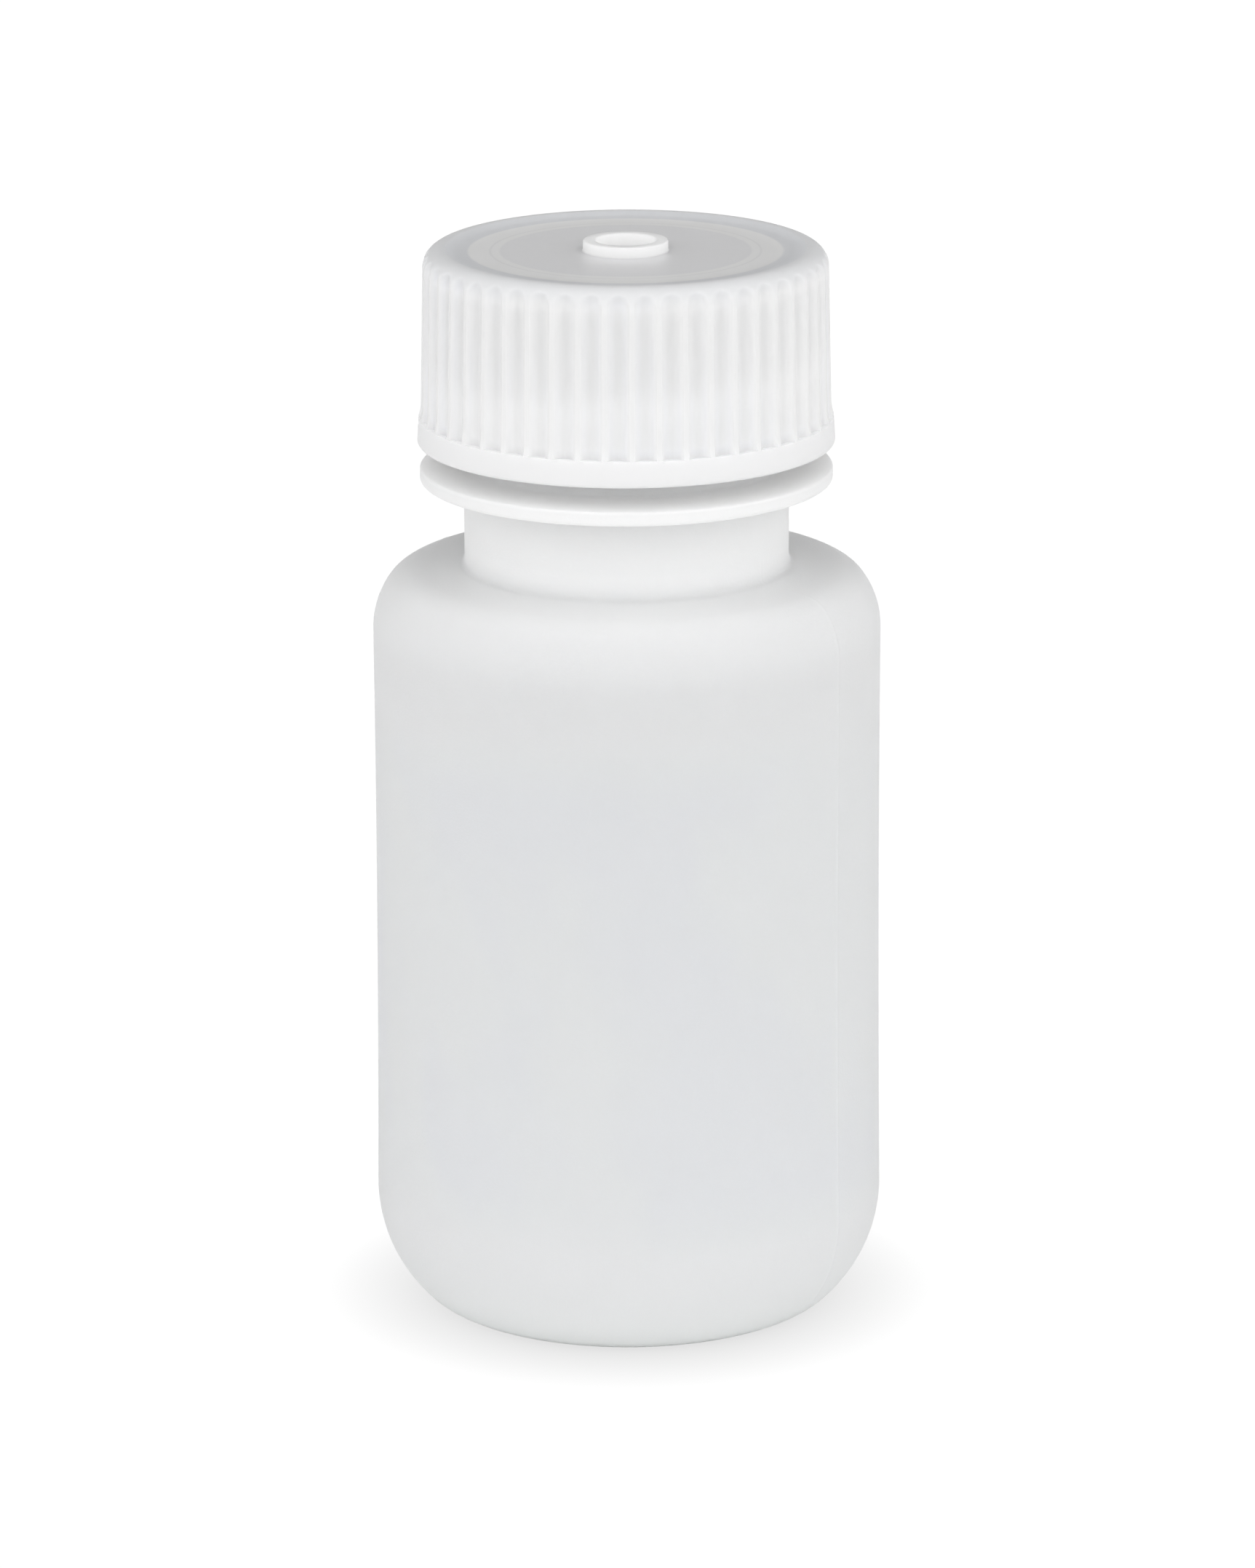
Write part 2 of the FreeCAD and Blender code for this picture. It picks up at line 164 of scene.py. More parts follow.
class StudioForm(PropertyGroup):
    distance: size("Distance", 600.0, "How far the camera stands from the bottle")
    height: size("Aim height", 41.185, "Height on the bottle's axis at which the camera aims")
    elevation: FloatProperty(name="Elevation", default=math.radians(15.81), subtype="ANGLE",
                             description="Angle of the camera above the horizontal")
    lens: FloatProperty(name="Lens", default=177.1, min=20.0, max=400.0,
                        description="Focal length on a 36 mm sensor, in millimetres")
    floor: tint("Floor", (0.9, 0.9, 0.9), "Colour of the pale floor, as it lights the bottle")
    shadow: share("Shadow", 0.3, "Depth of the soft shadow where the bottle meets the floor")
    shadow_reach: size("Shadow reach", 7.5, "How far that shadow spreads")
    front: glow("Front", 1.75, "Brightness of the light tent on the camera's side")
    left: glow("Left", 1.56, "Brightness of the tent's left side")
    right: glow("Right", 1.72, "Brightness of the tent's right side")
    back: glow("Back", 0.15, "Brightness of the tent behind the bottle")
    above_front: glow("Above, front", 1.8, "Brightness of the front half of the tent's roof")
    above_back: glow("Above, back", 0.3, "Brightness of the back half of the tent's roof")


# ---------------------------------------------------------------- outlines and surfaces

def straight(start, end, steps=1):
    """Points along a straight line from start up to, but without, end."""
    along = np.linspace(0.0, 1.0, steps, endpoint=False)[:, None]
    return np.array(start) + along * (np.array(end) - np.array(start))


def bend(centre, radius, first, last, steps):
    """Points on an arc from the angle first up to, but without, last, in degrees from outwards."""
    turn = np.radians(np.linspace(first, last, steps, endpoint=False))
    return np.array(centre) + radius * np.stack([np.cos(turn), np.sin(turn)], axis=1)


def round_angles(count, phase=0.0):
    return phase + np.arange(count) * (2 * math.pi / count)


def parted_angles(count, line, reach):
    """Even angles round the axis, and finer ones within reach of both ends of the parting line."""
    near = np.linspace(-1.0, 1.0, 9) * reach
    even = round_angles(count)
    off = np.abs(np.mod(even - line + math.pi / 2, math.pi) - math.pi / 2)
    fine = np.concatenate([line + near, line + math.pi + near])
    return np.sort(np.mod(np.concatenate([even[off > 1.15 * reach], fine]), 2 * math.pi))


def spun(outline, angles, radius=None):
    """Each point (r, z) of an outline carried round the axis to (r cos a, r sin a, z).

    A radius array of one row per point and one column per angle stands in for r.
    """
    r = outline[:, :1] if radius is None else radius
    z = outline[:, 1:] + 0 * angles
    return np.stack([r * np.cos(angles), r * np.sin(angles), z], axis=-1)


def wound_thread(z, angle, start, pitch, turns, height, root, crest):
    """How far a right-hand thread stands out of its wall at the height z and the angle.

    The thread's middle climbs from start by one pitch a turn. Across it the section is a trapezoid:
    full height within the crest, falling to nothing at the root. Its ends taper over an eighth of a turn.
    """
    rise = np.zeros(np.broadcast(z, angle).shape)
    for turn in range(math.ceil(turns)):
        wound = np.mod(angle, 2 * math.pi) / (2 * math.pi) + turn
        across = np.abs(z - start - pitch * wound)
        section = np.clip((root - across) / (root - crest), 0.0, 1.0)
        ends = np.clip(np.minimum(wound, turns - wound) * 8, 0.0, 1.0)
        rise = np.maximum(rise, section * height * np.sqrt(ends))
    return rise


def band_faces(first, second, count, other):
    """Faces between two rings that start at the vertices first and second.

    Rings of one size are joined by quads. Where one has a whole number of times the other's points, each
    coarse edge and the fine edges opposite it make one face.
    """
    many = max(count, other) // min(count, other)
    here = np.arange(min(count, other))[:, None]
    fine = (here * many + np.arange(many + 1)) % max(count, other)
    coarse = (here + np.array([1, 0])) % min(count, other)
    if count >= other:
        return np.hstack([first + fine, second + coarse])
    return np.hstack([second + fine, first + coarse])[:, ::-1]


def skin(name, grids, material, body, node, crease=32.0):
    """One closed moulding from grids of rings, which rides on a body and stands for a CAD node.

    The first and last rings are poles, and every grid is joined to the next one. A grid list that ends
    where it starts makes a ring instead, without poles. Rings climb the outside and come down the inside.
    """
    ring = len(grids) == 1 and np.hypot(*grids[0][0, 0, :2]) > 1e-6
    points, faces, rings, at = [], [], [], 0
    for grid in grids:
        for row in grid:
            rings.append((at, len(row)))
            at += len(row)
        points.append(grid.reshape(-1, 3))
    pairs = list(zip(rings, rings[1:] + rings[:1])) if ring else list(zip(rings, rings[1:]))
    for (first, count), (second, other) in pairs:
        faces.extend(band_faces(first, second, count, other).tolist())
    mesh = bpy.data.meshes.new(name)
    mesh.from_pydata(np.concatenate(points).tolist(), [], faces)
    piece = bpy.data.objects.new(name, mesh)
    bpy.context.scene.collection.objects.link(piece)
    if not ring:
        close_poles(mesh)
    mesh.shade_smooth()
    mesh.set_sharp_from_angle(angle=math.radians(crease))
    mesh.materials.append(material)
    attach(piece, body)
    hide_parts(node)
    return piece


def close_poles(mesh):
    """Merges each pole's ring of points, which all lie on the axis, into one."""
    shape = bmesh.new()
    shape.from_mesh(mesh)
    poles = [v for v in shape.verts if math.hypot(v.co.x, v.co.y) < 1e-7]
    bmesh.ops.remove_doubles(shape, verts=poles, dist=1e-7)
    shape.to_mesh(mesh)
    shape.free()


# ---------------------------------------------------------------- shader maths

class Value:
    """A number socket in a material, which ordinary sums turn into Math nodes."""

    def __init__(self, recipe, socket):
        self.recipe, self.socket = recipe, socket

    def sum(self, operation, *others):
        return self.recipe.math(operation, self, *others)

    def __add__(self, other):
        return self.sum("ADD", other)

    def __sub__(self, other):
        return self.sum("SUBTRACT", other)

    def __rsub__(self, other):
        return self.recipe.math("SUBTRACT", other, self)

    def __mul__(self, other):
        return self.sum("MULTIPLY", other)

    def __truediv__(self, other):
        return self.sum("DIVIDE", other)

    def __pow__(self, other):
        return self.sum("POWER", other)

    __radd__, __rmul__ = __add__, __mul__


class Recipe:
    """The nodes of one material or world."""

    def __init__(self, owner):
        owner.use_nodes = True
        self.tree = owner.node_tree
        self.tree.nodes.clear()

    def node(self, kind, settings=None, **sockets):
        """A node of that kind with its settings made and its sockets given values or links."""
        made = self.tree.nodes.new(kind)
        for key, value in (settings or {}).items():
            setattr(made, key, value)
        for key, value in sockets.items():
            self.feed(made.inputs[int(key[1:]) if key[1:].isdigit() else key.replace("_", " ")], value)
        return made

    def feed(self, socket, value):
        if isinstance(value, (Value, bpy.types.NodeSocket)):
            self.tree.links.new(getattr(value, "socket", value), socket)
        else:
            socket.default_value = value

    def math(self, operation, *inputs, clamp=False):
        slots = {f"i{n}": value for n, value in enumerate(inputs)}
        made = self.node("ShaderNodeMath", {"operation": operation, "use_clamp": clamp}, **slots)
        return Value(self, made.outputs[0])

    def place(self):
        return self.node("ShaderNodeTexCoord").outputs["Object"]

    def stretched(self, x, y, z):
        """Object coordinates in metres, scaled along each axis."""
        return self.node("ShaderNodeMapping", Vector=self.place(), Scale=(x, y, z)).outputs[0]

    def noise(self, vector, scale, detail=2.0, rough=0.5):
        made = self.node("ShaderNodeTexNoise", Vector=vector, Scale=scale, Detail=detail, Roughness=rough)
        return Value(self, made.outputs["Fac"])

    def band(self, value, low, high):
        """Nothing below low, full above high, and a smooth rise between them."""
        made = self.node("ShaderNodeMapRange", {"interpolation_type": "SMOOTHSTEP"},
                         Value=value, From_Min=low, From_Max=high)
        return Value(self, made.outputs[0])

    def mixed(self, share, first, second):
        """Two colours mixed by a share."""
        made = self.node("ShaderNodeMix", {"data_type": "RGBA"}, Factor=share, i6=first, i7=second)
        return made.outputs[2]

    def bumped(self, height, depth, strength=1.0):
        made = self.node("ShaderNodeBump", Height=height, Distance=depth, Strength=strength)
        return made.outputs[0]

    def plastic(self, **sockets):
        """A plastic skin on the surface output."""
        skin_node = self.node("ShaderNodeBsdfPrincipled", **sockets)
        self.node("ShaderNodeOutputMaterial", Surface=skin_node.outputs[0])
        return skin_node


def solid(colour):
    return (*colour, 1.0)


def milky_bottle(form):
    """Natural polyethylene: milky, faintly cooler in patches, with a fine frosted grain.

    The shoulder and the collar's top carry painted light, the neck and the collar's edge painted shade.
    """
    material = bpy.data.materials.new("natural_polyethylene")
    recipe = Recipe(material)
    z = Value(recipe, recipe.node("ShaderNodeSeparateXYZ", Vector=recipe.place()).outputs["Z"])
    side = recipe.band(z, 5 * MM, 14 * MM) * (1.0 - recipe.band(z, 44 * MM, 53 * MM))
    patches = side * (0.55 + 0.45 * recipe.band(recipe.noise(recipe.stretched(1, 1, 0.6), 70.0), 0.4, 0.62))
    # painted light on the shoulder: the mask that lightens it
    shoulder = recipe.band(z, 54 * MM, 58 * MM)
    sides = recipe.mixed(patches, solid(form.colour), solid(form.cool))
    above = recipe.mixed(shoulder, sides, solid(form.painted_light))
    # painted shade on the neck between the shoulder and the collar
    necked = recipe.mixed(recipe.band(z, 59.6 * MM, 61.5 * MM), above, solid(form.neck_shade))
    # painted shade on the collar's underside and outer edge: its mask
    edge = recipe.band(z, 65.4 * MM, 65.8 * MM) * (1.0 - recipe.band(z, 66.5 * MM, 66.8 * MM))
    # painted light on the collar's top and the neck above it; painted shade on the collar's edge
    tone = recipe.mixed(edge, recipe.mixed(recipe.band(z, 66.6 * MM, 66.9 * MM), necked, solid(form.painted_light)),
                        solid(form.collar_edge_shade))
    grain = recipe.noise(recipe.place(), 5200.0, 3.0, 0.6)
    waves = recipe.noise(recipe.place(), 90.0, 1.0)
    height = grain * form.frost + waves * (0.25 * MM)
    recipe.plastic(
        Base_Color=tone,
        Roughness=form.roughness + 0.12 * recipe.noise(recipe.place(), 700.0),
        Subsurface_Weight=1.0, Subsurface_Scale=4.0 * MM, Subsurface_Radius=(1.0, 0.98, 0.96),
        IOR=1.5, Normal=recipe.bumped(height, 1.0))
    return material


def milky_cap(form):
    """Natural polypropylene, with painted shade on the ribs, the lower band and the whole top."""
    material = bpy.data.materials.new("natural_polypropylene")
    recipe = Recipe(material)
    place = recipe.node("ShaderNodeSeparateXYZ", Vector=recipe.place())
    x, y, z = (Value(recipe, place.outputs[axis]) for axis in "XYZ")
    out = (x * x + y * y) ** 0.5
    # painted shade over the whole top: the mask that gives it its darker colours
    shaded_top = recipe.band(z, 81.9 * MM, 83.2 * MM)
    patches = recipe.band(recipe.noise(recipe.stretched(1, 1, 0.6), 80.0), 0.42, 0.62)
    pitch = 2 * math.pi / form.flutes
    turned = recipe.math("ARCTAN2", y, x) - (form.flute_phase - pitch / 2)
    off = recipe.math("ABSOLUTE", recipe.math("FLOORED_MODULO", turned, pitch) - pitch / 2)
    # painted shade on the ribs' crests between the flutes: its mask
    ribs = recipe.band(off * CREST_RADIUS, 0.3 * MM, 0.9 * MM)
    floors = recipe.mixed(patches, solid(form.colour), solid(form.cool))
    flutes = recipe.mixed(ribs, floors, solid(form.rib_shade))
    # painted shade on the plain band at the lower edge
    side = recipe.mixed(recipe.band(z, form.band_top - 0.2 * MM, form.band_top + 0.8 * MM),
                        solid(form.band_shade), flutes)
    # painted shade over the mouth and, less dark, over the seal ring
    mouth = recipe.mixed(recipe.band(out, 9.5 * MM, 9.75 * MM), solid(form.mouth), solid(form.over_seal_shade))
    # painted shade in a thin line over the plug skirt
    line = recipe.band(out, 10.2 * MM, 10.3 * MM) * (1.0 - recipe.band(out, 10.35 * MM, 10.5 * MM))
    lined = recipe.mixed(line, mouth, solid(form.plug_line_shade))
    # painted shade on the top outside the seal ring
    rim = recipe.mixed(recipe.band(out, 11.9 * MM, 12.2 * MM), lined, solid(form.rim))
    # painted shade on the rounded top corner
    corner = recipe.mixed(recipe.band(out, 13.6 * MM, 14.0 * MM), rim, solid(form.corner))
    lid = recipe.mixed(recipe.band(out, form.gate_ring - 0.05 * MM, form.gate_ring + 0.1 * MM),
                       solid(form.gate), corner)
    waves = recipe.noise(recipe.place(), 300.0, 2.0)
    recipe.plastic(
        Base_Color=recipe.mixed(shaded_top, side, lid),
        Roughness=form.roughness + 0.1 * recipe.noise(recipe.place(), 900.0),
        Subsurface_Weight=1.0, Subsurface_Scale=3.0 * MM, Subsurface_Radius=(1.0, 1.0, 1.0),
        IOR=1.5, Normal=recipe.bumped(waves, 0.03 * MM))
    return material


def milky_seal(form):
    """Soft polyethylene, a little duller than the cap."""
    material = bpy.data.materials.new("soft_polyethylene")
    recipe = Recipe(material)
    recipe.plastic(
        Base_Color=solid(form.colour),
        Roughness=form.roughness + 0.1 * recipe.noise(recipe.place(), 900.0),
        Subsurface_Weight=1.0, Subsurface_Scale=1.0 * MM, Subsurface_Radius=(1.0, 1.0, 1.0), IOR=1.5)
    return material


# ---------------------------------------------------------------- the pieces

def bottle_outline(form):
    """The bottle's outline, from the middle of the base up the outside and down the inside, in metres.

    It has two parts, so that the threaded neck can be finer: up to the thread, and from it on.
    """
    side, top, wall = form.side / MM, form.heel_top / MM, form.wall / MM
    waist, neck, mouth, lip = form.waist / MM, form.neck / MM, form.mouth / MM, form.lip / MM
    collar, rise = form.collar / MM, form.push_up / MM

    def dome(middle, foot):
        """The hollow base as an arc from the axis to the standing ring."""
        drop = middle - foot
        curve = (12.4 ** 2 + drop ** 2) / (2 * drop)
        reach = math.degrees(math.asin(12.4 / curve))
        return bend((0, middle - curve), curve, 90, 90 - reach, 24)

    def heel_and_side(inset):
        up = np.linspace(9.0, 54.0, 40, endpoint=False)
        along = (up - 9.0) / 45.0
        straight_side = top + (side - top) * along
        hollow = (waist - (top + side) / 2) * 4 * along * (1 - along)
        return [
            bend((14.0, 3.45), 3.45 - inset, -90, -45, 10),
            bend((top - 11.3, 9.0), 11.3 - inset, -45, 0, 20),
            np.stack([straight_side + hollow - inset, up], axis=1),
            bend((side - 6.2, 54.0), 6.2 - inset, 0, 35, 12),
            bend((side - 6.2 + 3.5 * math.cos(math.radians(35)), 54 + 3.5 * math.sin(math.radians(35))),
                 2.7 - inset, 35, 85, 12),
        ]

    def throat(inset, radius, fillet):
        """Where the sloping shoulder turns up into the neck: a short slope and a fillet."""
        slope = math.radians(5)
        end = np.array([side - 6.2 + 3.5 * math.cos(math.radians(35)) + (2.7 - inset) * math.sin(slope),
                        54 + 3.5 * math.sin(math.radians(35)) + (2.7 - inset) * math.cos(slope)])
        across = radius + fillet - fillet * math.sin(slope)
        up = end[1] + (end[0] - across) * math.tan(slope)
        return [straight(end, (across, up), 4),
                bend((radius + fillet, up + fillet * math.cos(slope)), fillet, 265, 180, 8)]

    outside = [dome(rise, 0.0), straight((12.4, 0), (14.0, 0), 3), *heel_and_side(0.0),
               *throat(0.0, neck, 0.6), straight((neck, 59.9), (neck, 65.3), 8),
               bend((neck + 0.35, 65.3), 0.35, 180, 90, 5),
               straight((neck + 0.35, 65.65), (collar - 0.35, 65.65), 5),
               bend((collar - 0.35, 66.0), 0.35, -90, 0, 6), straight((collar, 66.0), (collar, 66.6), 2),
               bend((collar - 0.2, 66.6), 0.2, 0, 84, 4),
               straight((collar - 0.2, 66.8), (neck + 0.3, 67.09), 5),
               bend((neck + 0.3, 67.39), 0.3, 270, 180, 4), straight((neck, 67.4), (neck, 70.9), 6),
               [(neck, 70.9)]]
    threaded = [straight((neck, 71.0), (neck, 80.6), 96), straight((neck, 80.6), (neck, lip - 0.4), 2),
                bend((neck - 0.4, lip - 0.4), 0.4, 0, 90, 6),
                straight((neck - 0.4, lip), (mouth + 0.4, lip), 3),
                bend((mouth + 0.4, lip - 0.4), 0.4, 90, 180, 6)]
    inside = [*heel_and_side(wall), *throat(wall, mouth, 1.0),
              straight((mouth, 60.2), (mouth, lip - 0.4), 20)]
    down = np.vstack([dome(rise + 1.3, wall), straight((12.4, wall), (14.0, wall), 2), *inside])[::-1]
    down = down[down[:, 1] < lip - 0.4]
    return np.vstack(outside) * MM, np.vstack(threaded) * MM, down * MM


def moulded(outline, angles, form):
    """The outside with the marks of its two mould halves.

    Along the parting line the radius grows by seam * (1 - d / w)^2, where d is the distance along the
    surface from the line and w its half width. Under the base, points less than half a pinch-off width
    from the X axis go down by the pinch-off's height.
    """
    off = np.mod(angles - form.seam_angle + math.pi / 2, math.pi) - math.pi / 2
    r, z = outline[:, :1], outline[:, 1:]
    crest = np.clip(1 - np.abs(off) * r / RIDGE_HALF_WIDTH, 0, 1) ** 2 * form.seam
    along = np.clip((z - 1.0 * MM) / (3 * MM), 0, 1) * np.clip((61 * MM - z) / (2 * MM), 0, 1)
    points = spun(outline, angles, r + crest * along)
    across = np.abs(r * np.sin(angles))
    under = (np.arange(len(outline)) < DOME_POINTS)[:, None] & (r < form.pinch_reach)
    flank = np.clip((form.pinch_width / 2 + 0.1 * MM - across) / (0.15 * MM), 0, 1)
    points[:, :, 2] -= np.where(under, flank * form.pinch, 0.0)
    return points


class BOTTLE_OT_blow_bottle(Operator):
    """Make the blow-moulded bottle with its collar, threaded neck and parting line"""
    bl_idname = "reagent.blow_bottle"
    bl_label = "Blow Bottle"

    def execute(self, context):
        form, thread = context.scene.reagent_bottle, context.scene.reagent_thread
        angles = parted_angles(BOTTLE_SEGMENTS, form.seam_angle, 0.45 * MM / form.side)
        lower, threaded, inside = bottle_outline(form)
        radius = threaded[:, :1] + 0 * angles
        wound = wound_thread(threaded[:, 1:], angles, thread.start, thread.pitch, thread.turns,
                             thread.height, thread.root, thread.crest)
        radius = radius + np.where(threaded[:, :1] > form.neck - 0.1 * MM, wound, 0.0)
        grids = [moulded(lower, angles, form), spun(threaded, angles, radius), spun(inside, angles)]
        skin("bottle_moulding", grids, milky_bottle(form), "bottle", "bottle")
        return {"FINISHED"}


def cap_outline(form):
    """The cap's outline in three parts, in metres: the inside, the fluted outside, and the middle."""
    low, band, flute_low = form.low / MM, form.band / MM, form.band_top / MM
    crown, top, dish = form.crown / MM, form.top / MM, form.dish / MM
    bore, ceiling, gate = form.bore / MM, form.ceiling / MM, form.gate_ring / MM
    inside = [straight((0, ceiling), (12.1, ceiling), 12), straight((12.1, ceiling), (12.1, 81.75), 2),
              straight((12.1, 81.75), (12.8, 81.75), 2), straight((12.8, 81.75), (12.8, ceiling), 2),
              straight((12.8, ceiling), (bore - 0.5, ceiling), 2),
              bend((bore - 0.5, ceiling - 0.5), 0.5, 90, 0, 5),
              straight((bore, ceiling - 0.5), (bore, 79.6), 4),
              straight((bore, 79.6), (bore, low + 0.45), 90),
              straight((bore, low + 0.45), (bore + 0.45, low), 2), [(bore + 0.45, low), (14.9, low)]]
    flare = math.degrees(math.asin(0.5 * math.hypot(0.19, 1.2) / 4.0))
    lean = math.degrees(math.atan2(0.19, 1.2))
    centre = np.array([band - 0.11 - 0.095, flute_low + 0.6])
    centre = centre + math.sqrt(16 - (0.19 ** 2 + 1.2 ** 2) / 4) * np.array([math.cos(math.radians(lean)),
                                                                              math.sin(math.radians(lean))])
    outside = [straight((15.2, low), (band - 0.25, low), 2),
               bend((band - 0.25, low + 0.25), 0.25, -90, 0, 6),
               straight((band, low + 0.25), (band - 0.11, flute_low - 0.06), 6),
               bend((band - 0.17, flute_low - 0.06), 0.06, 0, 80, 3),
               bend(centre, 4.0, 180 + lean + flare, 180 + lean - flare, 10),
               straight((band - 0.3, flute_low + 1.2), (crown, top - 1.43), 24),
               bend((crown - 1.43, top - 1.43), 1.43, 0, 90, 22),
               straight((crown - 1.43, top), (13.85, top), 1), bend((13.85, top - 0.3), 0.3, 90, 103, 2),
               straight((13.78, top - 0.01), (12.7, top - dish), 3),
               [(12.7, top - dish), (11.0, top - dish)]]
    face = top - dish
    middle = [straight((10.6, face), (gate + 0.15, face), 12),
              bend((gate + 0.15, face + 0.15), 0.15, 270, 180, 4),
              straight((gate, face + 0.15), (gate, 84.2), 3), bend((gate - 0.15, 84.2), 0.15, 0, 90, 5),
              straight((gate - 0.15, 84.35), (2.42, 84.35), 2), bend((2.42, 84.2), 0.15, 90, 180, 5),
              straight((2.27, 84.2), (2.27, 83.35), 4), bend((2.17, 83.35), 0.1, 0, -90, 4),
              straight((2.17, 83.25), (0, 83.25), 4), [(0, 83.25)]]
    return [np.vstack(part) * MM for part in (inside, outside, middle)]


def fluted(outline, angles, form):
    """The outside of the cap: the lesser of its own radius and that of the flutes' round floors.

    A flute's floor leans in with the side. Across it the floor rises as r0 + f - sqrt(f^2 - y^2), where y
    is the distance from the flute's middle. The two radii meet in a small rounding.
    """
    radius, z = outline[:, :1], outline[:, 1:]
    pitch = 2 * math.pi / form.flutes
    off = np.mod(angles - form.flute_phase + pitch / 2, pitch) - pitch / 2
    across = np.abs(off) * CREST_RADIUS
    curve, half = 1.1 * MM, 0.78 * MM
    hollow = curve - np.sqrt(curve ** 2 - np.minimum(across, half) ** 2) + np.maximum(across - half, 0) * 6
    floor = 15.74 * MM - form.flute_depth - (z - form.band_top) * 0.0201 + hollow
    soft = 0.05 * MM
    cut = (radius + floor - np.sqrt((radius - floor) ** 2 + soft ** 2)) / 2
    return np.where((z > form.band_top - 0.02 * MM) & (radius > 14.3 * MM), cut, radius + 0 * angles)


class BOTTLE_OT_mould_cap(Operator):
    """Make the screw cap with its flutes, gate ring and inside thread"""
    bl_idname = "reagent.mould_cap"
    bl_label = "Mould Cap"

    def execute(self, context):
        form, thread = context.scene.reagent_cap, context.scene.reagent_thread
        coarse, fine = round_angles(CAP_SEGMENTS), round_angles(4 * CAP_SEGMENTS)
        inside, outside, middle = cap_outline(form)
        # the flanks of the two threads are parallel, so the distance between them along the axis is fixed
        apart = form.bore - context.scene.reagent_bottle.neck
        below = (2 * thread.root - (thread.root - thread.crest) / thread.height * apart
                 + THREAD_CLEARANCE)
        wound = wound_thread(inside[:, 1:], coarse, thread.start - below, thread.pitch, thread.turns,
                             thread.height, thread.root, thread.crest)
        on_bore = np.abs(inside[:, :1] - form.bore) < 1e-6
        hollow = inside[:, :1] - np.where(on_bore, wound, 0.0)
        grids = [spun(inside, coarse, hollow), spun(outside, fine, fluted(outside, fine, form)),
                 spun(middle, coarse)]
        skin("screw_cap", grids, milky_cap(form), "cap", "cap")
        return {"FINISHED"}


class BOTTLE_OT_press_seal(Operator):
    """Make the soft seal ring with its plug skirt"""
    bl_idname = "reagent.press_seal"
    bl_label = "Press Seal Ring"

    def execute(self, context):
        form = context.scene.reagent_seal
        out, bore, plug, low = form.radius / MM, form.bore / MM, form.plug / MM, form.plug_low / MM
        outline = np.vstack([
            straight((bore + 0.1, low), (plug - 0.4, low), 3),
            straight((plug - 0.4, low), (plug, low + 0.8), 3),
            straight((plug, low + 0.8), (plug, 81.45), 4),
            bend((plug + 0.05, 81.45), 0.05, 180, 90, 2),
            straight((plug + 0.05, 81.5), (out - 0.1, 81.5), 4), bend((out - 0.1, 81.6), 0.1, -90, 0, 3),
            straight((out, 81.6), (out, 82.17), 2), bend((out - 0.1, 82.17), 0.1, 0, 90, 3),
            straight((out - 0.1, 82.27), (bore + 0.1, 82.27), 4),
            bend((bore + 0.1, 82.17), 0.1, 90, 180, 3),
            straight((bore, 82.17), (bore, low + 0.1), 8),
            bend((bore + 0.1, low + 0.1), 0.1, 180, 270, 3)]) * MM
        skin("seal_moulding", [spun(outline, round_angles(CAP_SEGMENTS))], milky_seal(form),
             "seal", "seal_ring")
        return {"FINISHED"}


# ---------------------------------------------------------------- floor, light and camera

class BOTTLE_OT_set_stage(Operator):
    """Lay the floor, light the bottle softly and place the camera"""
    bl_idname = "reagent.set_stage"
    bl_label = "Set Stage"

    def execute(self, context):
        studio, scene = context.scene.reagent_studio, context.scene
        lay_floor(studio)
        light_softly(studio, scene)
        place_camera(studio, scene)
        scene.view_settings.view_transform = "Standard"
        return {"FINISHED"}


def lay_floor(studio):
    """A pale matt floor. The camera sees it evenly bright, with a soft shadow near the bottle."""
    mesh = bpy.data.meshes.new("floor")
    reach = 6.0
    mesh.from_pydata([(-reach, -reach, 0), (reach, -reach, 0), (reach, reach, 0), (-reach, reach, 0)],
                     [], [(0, 1, 2, 3)])
    floor = bpy.data.objects.new("floor", mesh)
    bpy.context.scene.collection.objects.link(floor)
    material = bpy.data.materials.new("floor")
    recipe = Recipe(material)
    clear = recipe.node("ShaderNodeAmbientOcclusion", Distance=studio.shadow_reach)
    open_sky = Value(recipe, clear.outputs["AO"])
    bright = 1.03 - (1.0 - open_sky) * studio.shadow
    matt = recipe.node("ShaderNodeBsdfDiffuse", Color=solid(studio.floor)).outputs[0]
    lamp = recipe.node("ShaderNodeEmission", Strength=bright).outputs[0]
    seen = recipe.node("ShaderNodeLightPath").outputs["Is Camera Ray"]
    both = recipe.node("ShaderNodeMixShader", i0=seen, i1=matt, i2=lamp)
    recipe.node("ShaderNodeOutputMaterial", Surface=both.outputs[0])
    mesh.materials.append(material)


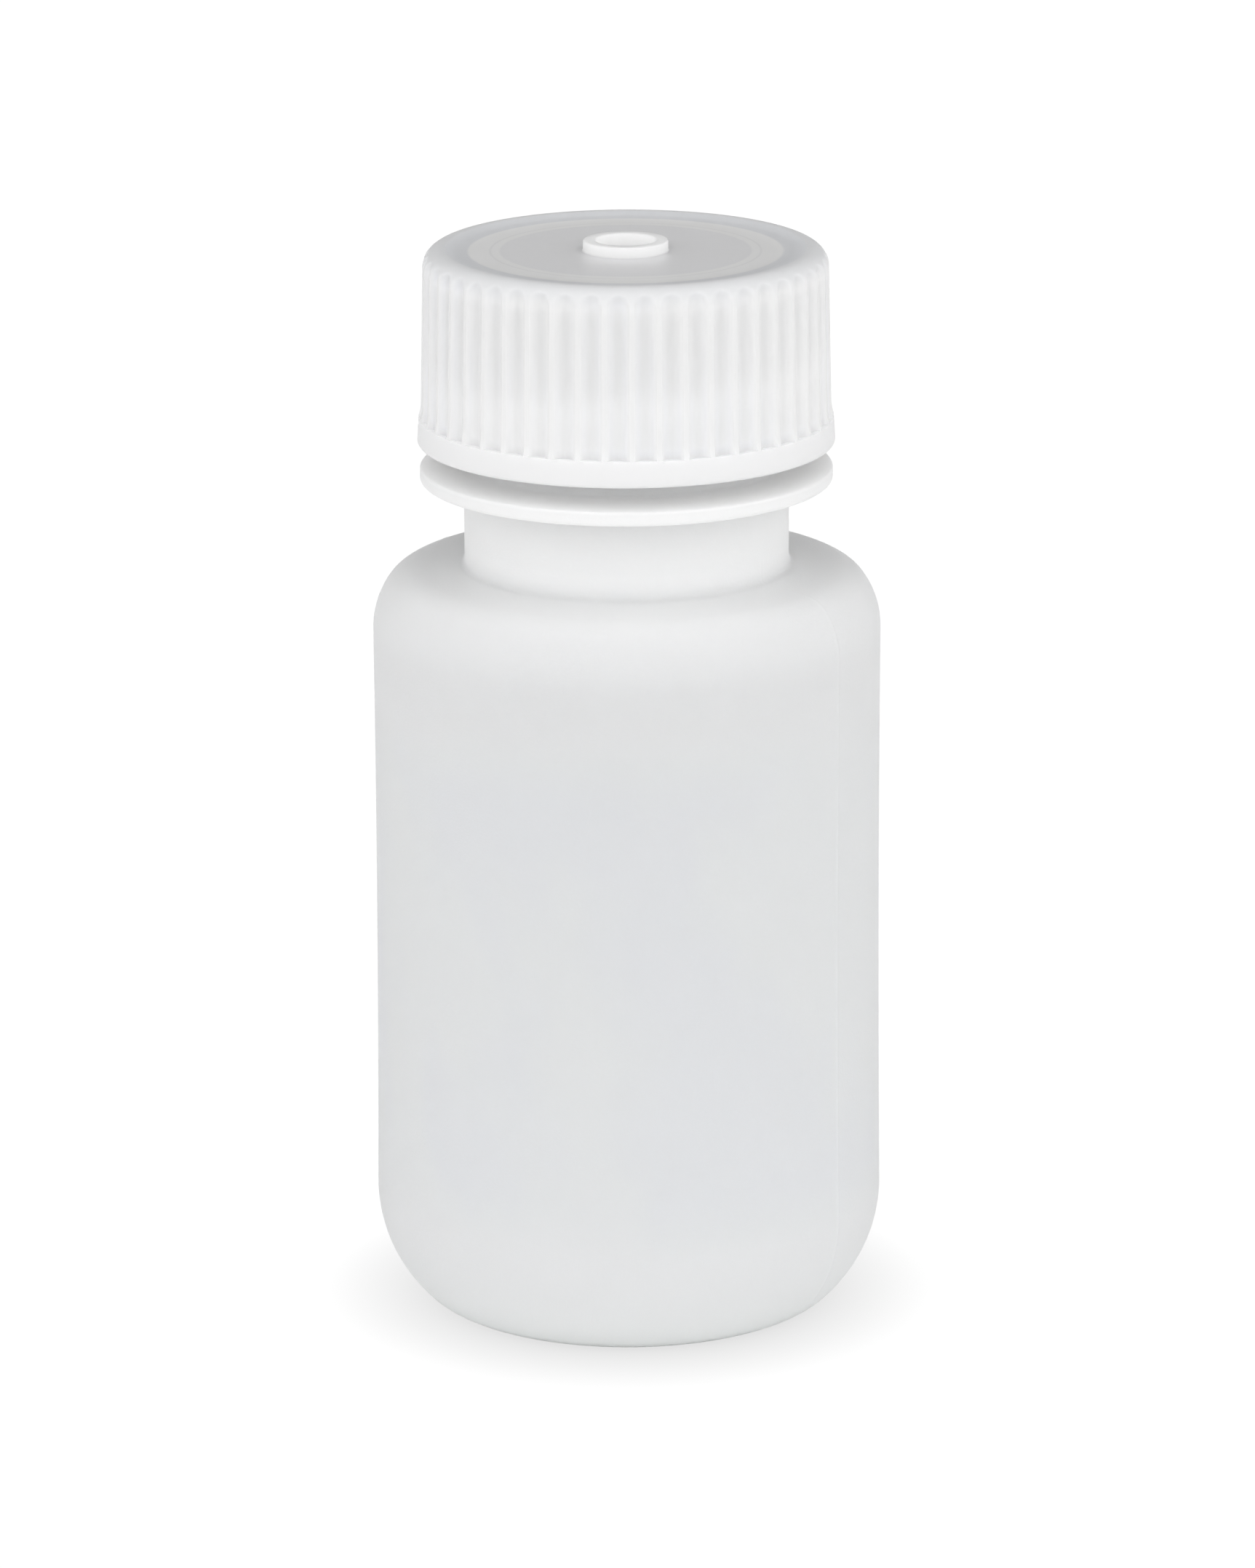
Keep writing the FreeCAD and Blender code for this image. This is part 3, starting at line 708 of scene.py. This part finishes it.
def light_softly(studio, scene):
    """A light tent: each side has its own brightness, and the sides turn smoothly into the roof.

    With the direction (x, y, z), the sides share x^2 and the front and back y^2 of x^2 + y^2.
    """
    world = bpy.data.worlds.new("studio")
    scene.world = world
    recipe = Recipe(world)
    direction = recipe.node("ShaderNodeTexCoord").outputs["Generated"]
    towards = recipe.node("ShaderNodeSeparateXYZ", Vector=direction)
    x, y, z = (Value(recipe, towards.outputs[axis]) for axis in "XYZ")
    across = x * x + y * y + 1e-6
    left, right = recipe.math("LESS_THAN", x, 0.0), recipe.math("GREATER_THAN", x, 0.0)
    front, back = recipe.math("LESS_THAN", y, 0.0), recipe.math("GREATER_THAN", y, 0.0)
    sides = (x * x * (left * studio.left + right * studio.right)
             + y * y * (front * studio.front + back * studio.back)) / across
    behind = recipe.band(y, -0.5, 0.5)
    roof = behind * (studio.above_back - studio.above_front) + studio.above_front
    up = recipe.band(z, 0.25, 0.7)
    seen = Value(recipe, recipe.node("ShaderNodeLightPath").outputs["Is Camera Ray"])
    bright = (sides * (1 - up) + roof * up) * (1 - seen) + seen
    sky = recipe.node("ShaderNodeBackground", Strength=bright).outputs[0]
    recipe.node("ShaderNodeOutputWorld", Surface=sky)


def place_camera(studio, scene):
    """The camera looks down at the axis from the front, tilted by a fifth of a degree."""
    lens = bpy.data.cameras.new("camera")
    lens.lens, lens.sensor_width = studio.lens, 36.0
    lens.clip_start, lens.clip_end = 0.05, 20.0
    camera = bpy.data.objects.new("camera", lens)
    aim = Vector((0, 0, studio.height))
    back = Vector((0, -math.cos(studio.elevation), math.sin(studio.elevation)))
    facing = (-back).to_track_quat("-Z", "Y").to_matrix()
    camera.matrix_world = (Matrix.Translation(aim + back * studio.distance)
                           @ (facing @ Matrix.Rotation(math.radians(-0.2), 3, "Z")).to_4x4())
    scene.collection.objects.link(camera)
    scene.camera = camera


# ---------------------------------------------------------------- panel and registration

class BOTTLE_PT_maker(Panel):
    """The bottle's sizes, colours and pieces in the sidebar"""
    bl_label = "Reagent Bottle"
    bl_idname = "BOTTLE_PT_maker"
    bl_space_type = "VIEW_3D"
    bl_region_type = "UI"
    bl_category = "Bottle"

    def draw(self, context):
        for group, operator in PIECES:
            box = self.layout.box()
            settings = getattr(context.scene, group)
            for field in settings.bl_rna.properties:
                if field.identifier not in {"rna_type", "name"}:
                    box.prop(settings, field.identifier)
            if operator:
                box.operator(operator)


FORMS = {"reagent_bottle": BottleForm, "reagent_thread": ThreadForm, "reagent_cap": CapForm,
         "reagent_seal": SealForm, "reagent_studio": StudioForm}
PIECES = [("reagent_thread", None), ("reagent_bottle", "reagent.blow_bottle"),
          ("reagent_cap", "reagent.mould_cap"), ("reagent_seal", "reagent.press_seal"),
          ("reagent_studio", "reagent.set_stage")]
CLASSES = [*FORMS.values(), BOTTLE_OT_blow_bottle, BOTTLE_OT_mould_cap, BOTTLE_OT_press_seal,
           BOTTLE_OT_set_stage, BOTTLE_PT_maker]


def register():
    for made in CLASSES:
        bpy.utils.register_class(made)
    for name, form in FORMS.items():
        setattr(bpy.types.Scene, name, PointerProperty(type=form))


def unregister():
    for name in FORMS:
        delattr(bpy.types.Scene, name)
    for made in reversed(CLASSES):
        bpy.utils.unregister_class(made)


def main():
    register()
    bpy.ops.reagent.blow_bottle()
    bpy.ops.reagent.mould_cap()
    bpy.ops.reagent.press_seal()
    bpy.ops.reagent.set_stage()


if __name__ == "__main__":
    main()
